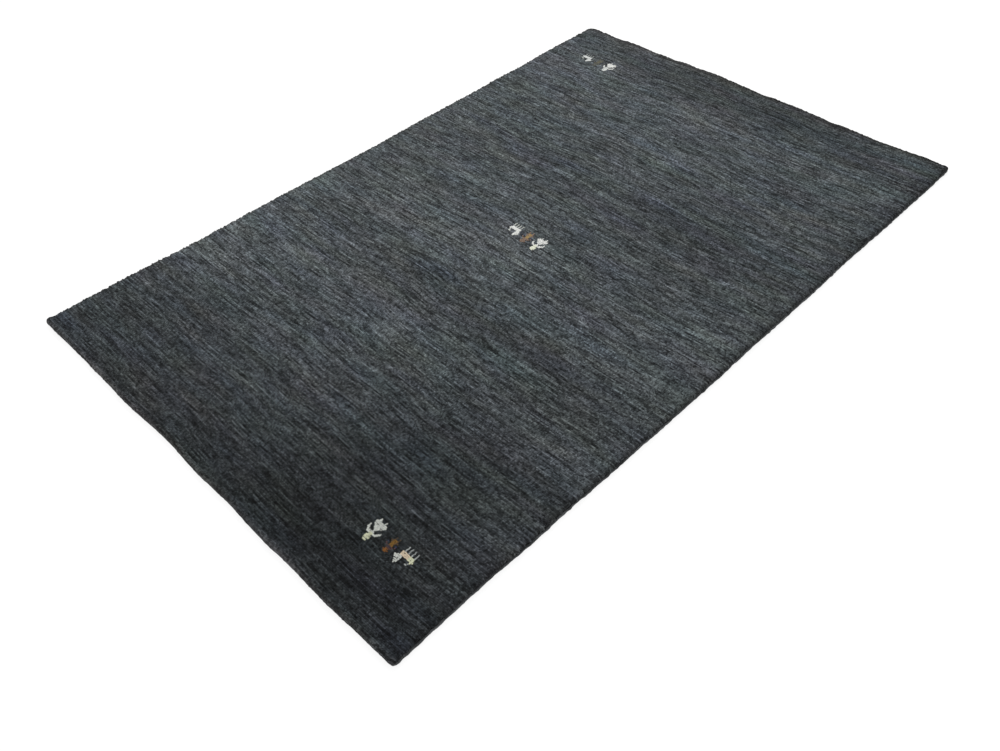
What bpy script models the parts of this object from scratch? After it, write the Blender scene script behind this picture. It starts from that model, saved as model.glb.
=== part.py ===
"""Gabbeh rug lying flat: a hand-loomed wool pile cloth with an overcast cord along each long side.

Metres, +Z up. The origin is on the floor under the middle of the rug, +Y runs along its length and +X
across its width. The cloth and both cords rest on z = 0.

The rug's outline is one closed line of stations, each with its place and its outward direction. The cloth
is a stack of rings set in from that line, closed by a level underside and a softly uneven crown. Each cord
follows the same stations, so it lies beside the cloth with an even gap.
"""

import math
import random
from collections import namedtuple

import bmesh
import bpy
from mathutils import Vector, geometry

# Driving dimensions
LENGTH = 1.600
WIDTH = 1.020
THICKNESS = 0.014
CORD_WIDTH = 0.0055
CORD_HEIGHT = 0.0062
PILE_SETBACK = 0.0015
GAP = 0.0004

# How finely the shapes are divided
RIM_STEP = 0.016
CORNER_STEPS = 6
CORD_SIDES = 8
CROWN_STEP = 0.060
UNDERSIDE_STEP = 0.120

Corner = namedtuple("Corner", "x_way y_way x_out y_out radius")
Station = namedtuple("Station", "share out")
RimRow = namedtuple("RimRow", "inset height")
Wave = namedtuple("Wave", "across along phase height")
Tip = namedtuple("Tip", "along size")

# The four corners of the pile, anticlockwise: which way each lies from the middle, how far it stands
# outside the true rectangle, and its rounding
CORNERS = {
    "near_right": Corner(1, -1, 0.0000, 0.0000, 0.009),
    "far_right": Corner(1, 1, 0.0015, 0.0026, 0.009),
    "far_left": Corner(-1, 1, 0.0035, -0.0050, 0.014),
    "near_left": Corner(-1, -1, 0.0010, 0.0000, 0.009),
}

# Each side from near to far or from left to right: how far the edge stands outside the straight line
# between its corners
EDGES = {
    "right": (
        Station(0.00, 0.0000),
        Station(0.12, -0.0001),
        Station(0.16, 0.0018),
        Station(0.21, 0.0009),
        Station(0.30, 0.0027),
        Station(0.44, 0.0036),
        Station(0.52, 0.0024),
        Station(0.66, 0.0025),
        Station(0.74, 0.0004),
        Station(0.86, 0.0010),
        Station(1.00, 0.0000),
    ),
    "far": (
        Station(0.00, 0.0000),
        Station(0.07, -0.0010),
        Station(0.15, 0.0036),
        Station(0.21, 0.0010),
        Station(0.39, 0.0078),
        Station(0.55, 0.0008),
        Station(0.63, 0.0022),
        Station(0.72, -0.0036),
        Station(0.83, -0.0050),
        Station(0.95, 0.0002),
        Station(1.00, 0.0000),
    ),
    "left": (
        Station(0.00, 0.0000),
        Station(0.08, 0.0003),
        Station(0.23, -0.0060),
        Station(0.31, -0.0044),
        Station(0.38, -0.0046),
        Station(0.50, -0.0078),
        Station(0.62, -0.0046),
        Station(0.70, -0.0056),
        Station(0.78, -0.0022),
        Station(0.83, -0.0030),
        Station(0.90, 0.0005),
        Station(1.00, 0.0000),
    ),
    "near": (
        Station(0.00, 0.0000),
        Station(0.15, -0.0009),
        Station(0.30, 0.0010),
        Station(0.42, -0.0034),
        Station(0.52, 0.0004),
        Station(0.60, -0.0013),
        Station(0.70, 0.0018),
        Station(0.78, 0.0001),
        Station(0.86, 0.0018),
        Station(0.93, 0.0001),
        Station(1.00, 0.0000),
    ),
}

# Small unevenness of the rim, where the yarn ends bunch up
LUMP = {"right": 0.0008, "left": 0.0006, "far": 0.0006, "near": 0.0004}
LUMP_SEED = 7
LUMP_FADE = 0.050

# Rim of the cloth at a long side, where the cord lies against the foundation under the pile's edge,
# and at a turned end, where the pile reaches the floor: inset from the outline, height above the floor
SEAT_INSET = CORD_WIDTH - PILE_SETBACK + GAP
SEAT_HEIGHT = CORD_HEIGHT + GAP
RIM_AT_SIDE = (
    RimRow(SEAT_INSET, 0.0),
    RimRow(SEAT_INSET, SEAT_HEIGHT),
    RimRow(0.0006, SEAT_HEIGHT + 0.0008),
    RimRow(0.0000, 0.0096),
    RimRow(0.0011, 0.0122),
    RimRow(0.0036, 0.0135),
    RimRow(0.0070, THICKNESS),
)
RIM_AT_END = (
    RimRow(0.0042, 0.0),
    RimRow(0.0011, 0.0022),
    RimRow(0.0000, 0.0056),
    RimRow(0.0004, 0.0092),
    RimRow(0.0014, 0.0120),
    RimRow(0.0038, 0.0135),
    RimRow(0.0070, THICKNESS),
)
# Along a turned end the rim changes from one section to the other over this length
SECTION_BLEND = 0.024

# Soft swells of the crown: their wavelengths across and along, phase and height
CROWN_WAVES = (
    Wave(0.410, 0.530, 0.4, 0.00022),
    Wave(0.230, -0.370, 1.9, 0.00016),
    Wave(-0.610, 0.190, 3.1, 0.00014),
)

# The cord turns round the corner with the cloth by this much, thinner from CORD_TAPER on, and ends in a
# rounded tip
CORD_TURN = math.radians(72)
CORD_TAPER = math.radians(20)
CORD_END_SIZE = 0.60
CORD_TIPS = (Tip(0.6, 0.8), Tip(1.0, 0.35))
CORD_TIP_LENGTH = 0.003
CORD_PINCH = 0.10


def start_empty():
    """Removes every object of the open file."""
    for thing in list(bpy.data.objects):
        bpy.data.objects.remove(thing, do_unlink=True)


def wool(name, colour, roughness):
    """A matt Principled material of one colour."""
    material = bpy.data.materials.new(name)
    material.use_nodes = True
    shader = material.node_tree.nodes["Principled BSDF"]
    shader.inputs["Base Color"].default_value = (*colour, 1.0)
    shader.inputs["Roughness"].default_value = roughness
    shader.inputs["Metallic"].default_value = 0.0
    return material


def smooth_step(share):
    """0 to 1 with a level start and end."""
    share = min(max(share, 0.0), 1.0)
    return share * share * (3 - 2 * share)


def between(stations, share):
    """The value at a share of a side, eased from one station to the next."""
    for low, high in zip(stations, stations[1:]):
        if share <= high.share:
            eased = smooth_step((share - low.share) / (high.share - low.share))
            return low.out + (high.out - low.out) * eased
    return stations[-1].out


def corner_centre(name):
    """The middle of a corner's rounding."""
    corner = CORNERS[name]
    half_x = WIDTH / 2 - PILE_SETBACK + corner.x_out - corner.radius
    half_y = LENGTH / 2 + corner.y_out - corner.radius
    return Vector((corner.x_way * half_x, corner.y_way * half_y))


def side_places(side, start_corner, end_corner, angle):
    """A side between two roundings, anticlockwise, with its unevenness and its own small lumps."""
    outward = Vector((round(math.cos(angle)), round(math.sin(angle))))
    start = corner_centre(start_corner) + outward * CORNERS[start_corner].radius
    end = corner_centre(end_corner) + outward * CORNERS[end_corner].radius
    length = (end - start).length
    count = round(length / RIM_STEP)
    chance = random.Random(f"{side}{LUMP_SEED}")
    places = []
    for i in range(count + 1):
        done = i / count
        share = done if side in ("right", "near") else 1 - done
        nearest = min(done, 1 - done) * length
        lump = chance.uniform(-1, 1) * LUMP[side] * smooth_step(nearest / LUMP_FADE)
        seat = 1.0 if side in ("right", "left") else 1 - smooth_step(nearest / SECTION_BLEND)
        out = between(EDGES[side], share) + lump
        places.append((start + (end - start) * done + outward * out, side, seat))
    return places


def corner_places(name, start_angle):
    """A corner's rounding without its two ends, which the sides hold."""
    centre = corner_centre(name)
    radius = CORNERS[name].radius
    places = []
    for i in range(1, CORNER_STEPS):
        angle = start_angle + math.pi / 2 * i / CORNER_STEPS
        places.append((centre + Vector((math.cos(angle), math.sin(angle))) * radius, "corner", 1.0))
    return places


def outline():
    """The pile's outermost line, anticlockwise from the near end of the right side.

    Each station is its place, its outward direction, its side or corner, and how much of the section at a
    long side it has: 1 there and round the corners, and 0 along a turned end away from its corners.
    """
    names = list(CORNERS)
    places = []
    for turn, side in enumerate(("right", "far", "left", "near")):
        start_corner = names[turn]
        end_corner = names[(turn + 1) % len(names)]
        angle = turn * math.pi / 2
        places += side_places(side, start_corner, end_corner, angle)
        places += corner_places(end_corner, angle)
    return with_directions(centred(places))


def centred(places):
    """The places moved so that their box has its middle at the origin."""
    xs = [place.x for place, side, seat in places]
    ys = [place.y for place, side, seat in places]
    middle = Vector(((min(xs) + max(xs)) / 2, (min(ys) + max(ys)) / 2))
    return [(place - middle, side, seat) for place, side, seat in places]


def with_directions(places):
    """Adds to each place its outward direction, square to the line between its neighbours."""
    stations = []
    for i, (place, side, seat) in enumerate(places):
        before = places[i - 1][0]
        after = places[(i + 1) % len(places)][0]
        along = (after - before).normalized()
        stations.append((place, Vector((along.y, -along.x)), side, seat))
    return stations


def crown_height(x, y):
    """Height of the pile's tips: the thickness less a soft swell."""
    top = sum(wave.height for wave in CROWN_WAVES)
    swell = sum(
        wave.height * math.sin(2 * math.pi * (x / wave.across + y / wave.along) + wave.phase)
        for wave in CROWN_WAVES
    )
    return THICKNESS - top + swell


def rim_ring(mesh, stations, row):
    """One ring of the cloth's rim: the outline set in by that row of the two sections, blended."""
    ring = []
    for place, outward, side, seat in stations:
        at_side, at_end = RIM_AT_SIDE[row], RIM_AT_END[row]
        spot = place - outward * (at_end.inset + (at_side.inset - at_end.inset) * seat)
        height = at_end.height + (at_side.height - at_end.height) * seat
        if height > SEAT_HEIGHT:
            pile_share = (height - SEAT_HEIGHT) / (THICKNESS - SEAT_HEIGHT)
            height -= (THICKNESS - crown_height(spot.x, spot.y)) * pile_share
        ring.append(mesh.verts.new((spot.x, spot.y, height)))
    return ring


def bridge(mesh, lower, upper):
    """Faces between two rings of the same length, the upper one further in or further up."""
    count = len(lower)
    for i in range(count):
        after = (i + 1) % count
        mesh.faces.new((lower[i], lower[after], upper[after], upper[i]))


def fill(mesh, ring, step, height_at, upwards):
    """Closes a ring with triangles over an even grid of inner points, at the height that a rule gives."""
    low_x, high_x = min(v.co.x for v in ring), max(v.co.x for v in ring)
    low_y, high_y = min(v.co.y for v in ring), max(v.co.y for v in ring)
    across = round((high_x - low_x) / step)
    along = round((high_y - low_y) / step)
    inner = [
        Vector((low_x + (high_x - low_x) * i / across, low_y + (high_y - low_y) * j / along))
        for i in range(1, across)
        for j in range(1, along)
    ]
    flat = [v.co.xy for v in ring] + inner
    edges = [(i, (i + 1) % len(ring)) for i in range(len(ring))]
    made = geometry.delaunay_2d_cdt(flat, edges, [], 1, 1e-7)
    spots, triangles, origins = made[0], made[2], made[3]
    verts = []
    for spot, origin in zip(spots, origins):
        on_ring = origin[0] < len(ring)
        verts.append(ring[origin[0]] if on_ring else mesh.verts.new((*spot, height_at(*spot))))
    for triangle in triangles:
        order = triangle if upwards else reversed(triangle)
        mesh.faces.new([verts[i] for i in order])


def add_object(name, mesh, material):
    """Turns a bmesh into a smooth shaded object of that name."""
    data = bpy.data.meshes.new(name)
    mesh.to_mesh(data)
    mesh.free()
    data.materials.append(material)
    data.shade_smooth()
    data.set_sharp_from_angle(angle=math.radians(50))
    thing = bpy.data.objects.new(name, data)
    bpy.context.scene.collection.objects.link(thing)
    return thing


def make_pile_cloth(stations, material):
    """The cloth: level underside, rim rings from floor to crown, softly uneven crown."""
    mesh = bmesh.new()
    rings = [rim_ring(mesh, stations, row) for row in range(len(RIM_AT_SIDE))]
    for lower, upper in zip(rings, rings[1:]):
        bridge(mesh, lower, upper)
    fill(mesh, rings[-1], CROWN_STEP, crown_height, upwards=True)
    fill(mesh, rings[0], UNDERSIDE_STEP, lambda x, y: 0.0, upwards=False)
    return add_object("pile_cloth", mesh, material)


def cord_path(stations, side):
    """Centre, outward direction and size of one cord along its side and most of the turn at either end."""
    chosen = []
    for place, outward, name, seat in stations:
        square = outward.x if side == "right" else -outward.x
        if name == side or (name == "corner" and square > math.cos(CORD_TURN)):
            turned = math.acos(min(square, 1.0)) if name == "corner" else 0.0
            size = 1 - (1 - CORD_END_SIZE) * smooth_step((turned - CORD_TAPER) / (CORD_TURN - CORD_TAPER))
            chosen.append((place + outward * (PILE_SETBACK - CORD_WIDTH / 2), outward, size))
    chosen.sort(key=lambda point: point[0].y)
    return chosen


def cord_section(share):
    """The cord's section as offsets outwards and heights, level at the floor, scaled by a share."""
    reach = math.cos(math.pi / CORD_SIDES)
    section = []
    for i in range(CORD_SIDES):
        angle = 2 * math.pi * (i + 0.5) / CORD_SIDES
        out = CORD_WIDTH / 2 * math.cos(angle) / reach * share
        height = CORD_HEIGHT / 2 * (1 + math.sin(angle) / reach) * share
        section.append((out, height))
    return section


def cord_ring(mesh, centre, outward, share):
    """One ring of a cord, standing across its path."""
    return [
        mesh.verts.new((centre.x + outward.x * out, centre.y + outward.y * out, height))
        for out, height in cord_section(share)
    ]


def cord_tip_rings(mesh, end, inner):
    """The rings past one end of a cord, smaller and smaller, so that its tip is rounded."""
    centre, outward, size = end
    onward = (centre - inner[0]).normalized() * CORD_TIP_LENGTH
    return [
        cord_ring(mesh, centre + onward * tip.along, outward, tip.size * size * (1 - CORD_PINCH))
        for tip in CORD_TIPS
    ]


def make_selvedge(stations, side, material):
    """A cord along one long side, pinched a little where its yarn is drawn tight, with rounded tips."""
    mesh = bmesh.new()
    path = cord_path(stations, side)
    chance = random.Random(f"cord {side}{LUMP_SEED}")
    rings = []
    for centre, outward, size in path:
        rings.append(cord_ring(mesh, centre, outward, size * (1 - CORD_PINCH * chance.random())))
    first = cord_tip_rings(mesh, path[0], path[1])
    last = cord_tip_rings(mesh, path[-1], path[-2])
    rings = first[::-1] + rings + last
    for lower, upper in zip(rings, rings[1:]):
        bridge(mesh, lower, upper)
    mesh.faces.new(rings[0])
    mesh.faces.new(rings[-1])
    bmesh.ops.recalc_face_normals(mesh, faces=mesh.faces)
    return add_object(f"selvedge_{side}", mesh, material)


def main():
    start_empty()
    stations = outline()
    make_pile_cloth(stations, wool("pile_wool", (0.045, 0.052, 0.056), 0.95))
    overcast_wool = wool("overcast_wool", (0.034, 0.032, 0.035), 0.9)
    for side in ("right", "left"):
        make_selvedge(stations, side, overcast_wool)


main()
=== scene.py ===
"""Gabbeh rug lying flat on a pale floor, dressed in wool over its CAD frame.

Metres, +Z up. +Y runs along the rug and +X across it; the origin is on the floor under its middle.

The rug is a woven back with rows of cut pile knotted on it, a yarn overcast cord along each long side, and
three groups of small knotted figures. The pile is one surface on one grid, cut into bands along grooves
between rows, so that each band is a closed body with few enough faces.
"""
import math
from collections import namedtuple

import bpy
import numpy as np
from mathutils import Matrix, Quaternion, Vector


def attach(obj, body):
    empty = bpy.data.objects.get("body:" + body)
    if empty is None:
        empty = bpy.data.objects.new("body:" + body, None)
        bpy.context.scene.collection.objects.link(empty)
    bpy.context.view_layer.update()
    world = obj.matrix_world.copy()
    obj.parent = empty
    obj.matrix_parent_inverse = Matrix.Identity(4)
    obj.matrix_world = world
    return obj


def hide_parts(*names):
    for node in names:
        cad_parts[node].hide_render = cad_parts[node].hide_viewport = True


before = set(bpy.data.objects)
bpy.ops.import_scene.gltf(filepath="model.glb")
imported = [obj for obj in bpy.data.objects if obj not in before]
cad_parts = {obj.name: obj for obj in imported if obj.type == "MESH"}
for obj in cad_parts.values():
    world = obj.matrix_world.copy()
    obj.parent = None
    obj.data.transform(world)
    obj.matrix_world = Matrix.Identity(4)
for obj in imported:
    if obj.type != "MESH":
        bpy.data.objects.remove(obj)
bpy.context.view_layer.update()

# Driving dimensions, the same as the CAD's
LENGTH = 1.600
WIDTH = 1.020
THICKNESS = 0.014
CORD_WIDTH = 0.0055
CORD_HEIGHT = 0.0062
PILE_SETBACK = 0.0015
SEAT_HEIGHT = 0.0066

# How finely the pile is divided
ROW_PITCH = 0.0030
ROW_UNEVEN = 0.25
LINE_PLACES = (0.0, 0.5)
COLUMN_STEP = 0.0035
BANDS = 5
OUTLINE_SAMPLES = 801

# What the rims take off the width and the length before the crown is divided
CROWN_MARGIN_X = 0.021
CROWN_MARGIN_Y = 0.014
# Share of a corner's rounding at which the crown's edge lines meet
CROWN_SQUARENESS = 0.85

Corner = namedtuple("Corner", "x_way y_way x_out y_out radius")
Wave = namedtuple("Wave", "across along phase height")
Shade = namedtuple("Shade", "x y reach_x reach_y tone")
Streak = namedtuple("Streak", "reach tone height")
Tint = namedtuple("Tint", "way wide down")
Noise = namedtuple("Noise", "amount reach")
Shadow = namedtuple("Shadow", "side tone reach tint")
Group = namedtuple("Group", "figures mirrored")
Figure = namedtuple("Figure", "chart x y across along yarns")

# The pile's corners: which way each lies, how far it stands outside the true rectangle, its rounding
CORNERS = {
    "near_right": Corner(1, -1, 0.0022, -0.0014, 0.009),
    "far_right": Corner(1, 1, 0.0015, 0.0026, 0.009),
    "far_left": Corner(-1, 1, 0.0035, -0.0050, 0.019),
    "near_left": Corner(-1, -1, 0.0010, 0.0000, 0.009),
}

# Each side from near to far or from left to right: share of its length, and how far it stands out there
EDGES = {
    "right": (
        (0.00, 0.0000), (0.05, -0.0015), (0.12, -0.0020), (0.16, 0.0000), (0.21, -0.0008), (0.30, 0.0012),
        (0.44, 0.0024), (0.52, 0.0013), (0.66, 0.0018), (0.74, -0.0002), (0.86, 0.0007), (1.00, 0.0000),
    ),
    "far": (
        (0.00, 0.0000), (0.07, -0.0010), (0.15, 0.0036), (0.21, 0.0010), (0.39, 0.0078), (0.55, 0.0008),
        (0.63, 0.0022), (0.72, -0.0036), (0.83, -0.0050), (0.95, 0.0002), (1.00, 0.0000),
    ),
    "left": (
        (0.00, 0.0000), (0.08, 0.0003), (0.23, -0.0060), (0.31, -0.0044), (0.38, -0.0046), (0.50, -0.0078),
        (0.62, -0.0046), (0.70, -0.0056), (0.78, -0.0022), (0.83, -0.0030), (0.90, 0.0005), (1.00, 0.0000),
    ),
    "near": (
        (0.00, 0.0000), (0.15, -0.0007), (0.30, 0.0014), (0.42, -0.0028), (0.52, 0.0011), (0.60, -0.0005),
        (0.70, 0.0028), (0.78, 0.0012), (0.86, 0.0030), (0.94, 0.0012), (1.00, 0.0000),
    ),
}

# Levels of the rim from the foot to the crown, as inset from the outline and height, in millimetres
RIM_AT_SIDE = np.array([
    (2.4, 0.15), (4.1, 0.9), (4.3, 6.4), (2.6, 6.8), (0.8, 7.5), (0.1, 8.8),
    (0.1, 10.3), (0.7, 11.8), (1.7, 12.7), (3.2, 13.4), (5.0, 13.8), (7.0, 14.0),
]) / 1000
RIM_AT_END = np.array([
    (4.2, 0.4), (2.2, 0.9), (1.0, 2.2), (0.35, 3.8), (0.0, 5.6), (0.0, 7.6),
    (0.35, 9.4), (0.9, 11.0), (1.8, 12.3), (3.2, 13.3), (5.0, 13.8), (7.0, 14.0),
]) / 1000
LEVELS = len(RIM_AT_SIDE) - 1
# The grid's first and last lines are the rim's, both from the foot inwards, with the crown's between them
FIRST_LEVELS = slice(0, LEVELS)
LAST_LEVELS = slice(-1, -LEVELS - 1, -1)
CROWN = slice(LEVELS, -LEVELS)
# Angles round a corner, from the long side, between which the section becomes a turned end's
SEAT_TURN = (math.radians(25), math.radians(70))
# Over this length from a corner the rim's places are shifted to meet its rounding
SKEW_REACH = 0.040

# Soft swells of the crown
CROWN_WAVES = (
    Wave(0.410, 0.530, 0.4, 0.00022),
    Wave(0.230, -0.370, 1.9, 0.00016),
    Wave(-0.610, 0.190, 3.1, 0.00014),
)

# Relief of the pile: the groove between rows, single tufts, tufts and swells on a turned end, and how far
# each row's own end stands out; then the noise behind them, with its reaches in cells, and its limit
GROOVE = 0.0009
TUFT_HEIGHT = 0.00022
END_TUFT = 0.00040
END_SWELL = 0.00045
ROW_ENDS = 0.00120
GROOVE_DEPTH = 0.75
GROOVE_UNEVEN = Noise(0.25, (0.0, 1.0))
TUFT_REACH = (0.5, 0.3)
END_SWELL_REACH = (0.0, 2.5)
END_MOST = 0.001

# Rim levels below which the pile has no relief, and over which it grows to the whole
FLAT_LEVELS = 2
GROWING_LEVELS = 3

# How far the rows wander along the rug, and how soon they do so from the ends and from the sides
WANDER = Noise(0.0011, (60, 22))
WANDER_FROM_ENDS = 60
WANDER_FROM_SIDES = 25

# Charcoal wool, the way its colour goes in the painted light and shade, and the broad soft patches. These are
# partly bands of dye across the rug and partly painted shade and light: the near end and the near right
# corner are painted darker, as where the light falls off, the right edge is painted darker, and strips along
# the near edge and by the right cord's seam are painted lighter or darker
CHARCOAL = np.array([0.0578, 0.0660, 0.0702])
SHADE_WAY = np.array([1.00, 1.00, 0.97])
SHADES = (
    # Painted shade: the near end and the near right corner darker, as where the light falls off
    Shade(0.52, -1.13, 1.10, 0.46, -1.75),
    Shade(0.31, -0.64, 0.18, 0.32, -0.40),
    Shade(0.20, -0.23, 0.49, 0.05, -0.22),
    Shade(0.26, 0.24, 0.47, 0.10, -0.30),
    Shade(0.11, 0.72, 0.41, 0.07, -0.40),
    Shade(-0.45, 0.10, 0.30, 0.50, 0.08),
    Shade(-0.46, -0.42, 0.14, 0.12, 0.30),
    Shade(0.32, -0.77, 0.24, 0.08, -0.20),
    Shade(0.05, -0.60, 0.12, 0.06, 0.16),
    Shade(0.01, 0.10, 0.07, 0.60, 0.13),
    Shade(0.21, 0.32, 0.09, 0.24, -0.13),
    Shade(0.50, 0.15, 0.10, 0.25, 0.12),
    Shade(0.10, -0.06, 0.50, 0.07, 0.06),
    # Painted shade along the right edge, with more of it towards the far end
    Shade(0.52, 0.00, 0.03, 1.00, -0.13),
    Shade(0.52, 0.50, 0.050, 0.40, -0.28),
    Shade(-0.35, -0.80, 0.30, 0.05, -0.12),
    Shade(0.15, -0.71, 0.50, 0.05, -0.12),
    Shade(-0.37, -0.60, 0.07, 0.06, -0.18),
    Shade(0.17, -0.60, 0.07, 0.05, -0.24),
    Shade(0.46, -0.49, 0.06, 0.06, -0.20),
    Shade(0.00, -0.36, 0.50, 0.06, 0.07),
    Shade(-0.15, -0.10, 0.35, 0.07, 0.09),
    Shade(0.35, 0.61, 0.20, 0.07, 0.11),
    Shade(0.00, 0.76, 0.45, 0.05, -0.11),
    # Painted light on the seam between the right cord and the pile towards the near end, and along the near
    # edge a strip painted lighter on the right and darker on the left
    Shade(0.511, -0.64, 0.0045, 0.20, 0.55),
    Shade(0.30, -0.80, 0.25, 0.012, 0.24),
    Shade(-0.30, -0.80, 0.25, 0.012, -0.12),
)
# Each row's yarn drifts in long and short streaks, in tone and in height
STREAKS = (
    Streak(0.060, 0.17, 0.00000),
    Streak(0.016, 0.09, 0.00020),
    Streak(0.005, 0.08, 0.00022),
)
BAND_TONE = Noise(0.03, (5.0, 60.0))
TUFT_TONE = 0.06
# Painted shade in the grooves between rows
GROOVE_PAINTED_SHADE = -0.10
# The pattern within a row: spans of a streak and a tuft, the tones that each part gives, and a painted shade
# towards the row's two edges, where the grooves lie, with its reach as a share of a row
STREAK_SPAN = 0.050
TUFT_SPAN = 0.0025
STREAK_TONES = (0.38, 1.62)
STREAK_RANGE = (0.37, 0.63)
TUFT_TONES = (0.40, 1.60)
ROW_EDGE_PAINTED_SHADE = (0.60, 1.08)
FIBRE_TONES = (0.50, 1.50)
ROW_SHADE_REACH = 0.20
ROW_APART = 7.31
# Tints: how each shifts the colour, and its reach across and along the rug
TINTS = (
    Tint(np.array([-0.013, 0.006, 0.007]), 0.032, 0.009),
    Tint(np.array([0.012, -0.007, 0.010]), 0.040, 0.011),
    Tint(np.array([0.011, 0.005, -0.026]), 0.027, 0.007),
)
# The brown tint that the painted edge shade and light carry
EDGE_SHADE_TINT = np.array([0.05, -0.015, -0.05])
# Painted shade along the right, left and far edges and painted light along the near one: each side's tone,
# how far in it reaches, and how much of the brown tint it carries
EDGE_SHADOWS = (
    Shadow("right", -0.50, 0.0100, 0.7),
    Shadow("left", -0.42, 0.0110, 2.2),
    Shadow("near", 0.38, 0.0112, 2.0),
    Shadow("far", -0.75, 0.0150, 0.7),
    Shadow("far", -0.32, 0.0270, 1.1),
    Shadow("far", -0.12, 0.0500, 0.8),
)

# Knotted figures, charted: each letter is one knot, and the letters name the yarn's place
HERDER = (
    "...s....s....",
    "...ss...s....",
    ".ssssssssss..",
    ".sssssssssss.",
    "..sssssssss..",
    "...sssssss...",
    "a...sssss....",
    "a....sss....a",
    "aa....s....aa",
    ".aaa.sss..aa.",
    "..aaahhhaaa..",
    ".....hhh.....",
    "....hhhhh....",
    "....hhhhh....",
    "....hhhhh....",
    ".....hhh.....",
)
GOAT = (
    "....l..l..l..l.",
    "....l..l..l..l.",
    "....l..l..l..l.",
    "....l..l..l..l.",
    "...bbbbbbbcccc.",
    "...bbbbbbbccccc",
    "...bbbbbbbccccc",
    "..hhhh.......c.",
    "hhhhhh......t..",
    ".hhhhh.....tt..",
    "..hhhh.........",
    "...hhh.........",
    "....h..........",
)
CHILD = (
    "...v..v..",
    "...v..v..",
    "..vuuuv..",
    ".vvuuuvv.",
    "..vuuuv..",
    "n..uuu..n",
    "w..uuu..w",
    ".wwwwwww.",
    "..wwwww..",
    "...ddd...",
    "..ddddd..",
    "...ddd...",
)
# The figures' yarns
WHITE = (0.608, 0.616, 0.592)
MILK = (0.544, 0.560, 0.544)
PALE = (0.432, 0.448, 0.416)
CREAM = (0.608, 0.624, 0.512)
STRAW = (0.445, 0.455, 0.325)
PEACH = (0.480, 0.400, 0.296)
ASH = (0.256, 0.272, 0.264)
AMBER = (0.280, 0.192, 0.082)
GOLD = (0.142, 0.076, 0.018)
BARK = (0.060, 0.040, 0.024)
RUST = (0.160, 0.064, 0.016)
PLUM = (0.068, 0.036, 0.036)
NAVY = (0.028, 0.032, 0.072)
CLAY = (0.176, 0.124, 0.094)
OLIVE = (0.100, 0.095, 0.066)
MOSS = (0.080, 0.080, 0.064)
# Each figure's chart, the middle of its first row, the size of its knots and its yarns
GROUPS = {
    "front_figures": Group((
        Figure(HERDER, 0.3250, -0.6550, 0.00225, 0.0028,
               {"s": PALE, "a": PALE, "h": STRAW}),
        Figure(CHILD, 0.3635, -0.6610, 0.00220, 0.0026,
               {"u": GOLD, "v": BARK, "w": PLUM, "d": RUST, "n": NAVY}),
        Figure(GOAT, 0.3950, -0.6590, 0.00230, 0.0028,
               {"l": ASH, "b": PEACH, "c": STRAW, "h": PALE, "t": ASH}),
    ), False),
    "centre_figures": Group((
        Figure(GOAT, -0.0350, 0.0215, 0.00220, 0.0028,
               {"l": PALE, "b": WHITE, "c": WHITE, "h": WHITE, "t": PALE}),
        Figure(CHILD, 0.0000, 0.0190, 0.00260, 0.0031,
               {"u": AMBER, "v": CLAY, "w": CLAY, "d": CLAY, "n": NAVY}),
        Figure(HERDER, 0.0320, 0.0215, 0.00225, 0.0028,
               {"s": WHITE, "a": WHITE, "h": CREAM}),
    ), True),
    "far_figures": Group((
        Figure(GOAT, -0.4035, 0.6690, 0.00220, 0.0026,
               {"l": ASH, "b": MILK, "c": MILK, "h": MILK, "t": PALE}),
        Figure(CHILD, -0.3670, 0.6690, 0.00260, 0.0031,
               {"u": OLIVE, "v": MOSS, "w": MOSS, "d": MOSS, "n": NAVY}),
        Figure(HERDER, -0.3315, 0.6720, 0.00235, 0.0028,
               {"s": WHITE, "a": WHITE, "h": MILK}),
    ), True),
}
# A knot's tuft: rings as shares of its half width and depths under its tip, and its painted shade, darker
# towards the root, up to the tip
TUFT_SIDES = 8
TUFT_SQUARENESS = 3.0
TUFT_RINGS = ((0.95, -0.0040), (1.05, -0.0009), (0.92, -0.00025), (0.52, -0.00004))
TUFT_ROOT_PAINTED_SHADES = (0.55, 0.82, 1.0, 1.0, 1.0)
TUFT_SPREAD = 1.16
TUFT_PROUD = 0.00030

# How the knots of a figure differ: place, size, height, lean and tone, and the wave that their columns make
KNOT_SHIFT = 0.00022
KNOT_SIZE = 0.07
KNOT_HEIGHT = 0.00010
KNOT_LEAN = 0.00020
KNOT_TONE = 0.07
KNOT_WAVE = 0.0003
KNOT_WAVE_RATE = 900

# A band's own map, as start and span: its top, everything along the rug, the underside and the two ends
MAP_TOP = (0.005, 0.935)
MAP_ALONG = (0.01, 0.98)
MAP_UNDER = (0.965, 0.945)
MAP_END = 0.970
MAP_END_STEP = 0.014
MAP_END_SPAN = 0.010

# Overcast cords: dark yarn wound round the outermost warps
CORD_YARN = np.array([0.0540, 0.0566, 0.0588])
CORD_STEP = 0.00085
CORD_SIDES = 14
WRAP_PITCH = 0.0034
WRAP_LEAN = 0.35
WRAP_DEPTH = 0.10
WRAP_ROUND = 0.6
# Painted shade in the dips between turns of the winding
WRAP_DIP_PAINTED_SHADE = 2.2
WRAP_DRIFT = Noise(0.25, (30, 0))
LUMP_LENGTH = 0.006
LUMP_ROUND = 0.8
LUMP_DEPTH = 0.20
LUMP_MOST = 1.6
CORD_SWAY = 0.00045
CORD_TURN = math.radians(78)
CORD_TAPER = math.radians(38)
CORD_END_SIZE = 0.30
CORD_TIP_LENGTH = 0.002
CORD_TIP_SIZE = 0.02
CORD_LIFT = 0.0001
CORD_TONES = (Noise(0.22, (4, 0.6)), Noise(0.10, (40, 3)))
TURN_SAMPLES = 40
SIDE_SAMPLES = 900
# Painted light: the cord lighter near both ends, where it turns round the corners, and over what length
CORD_END_PAINTED_LIGHT = 0.35
CORD_END_REACH = 0.018

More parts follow.
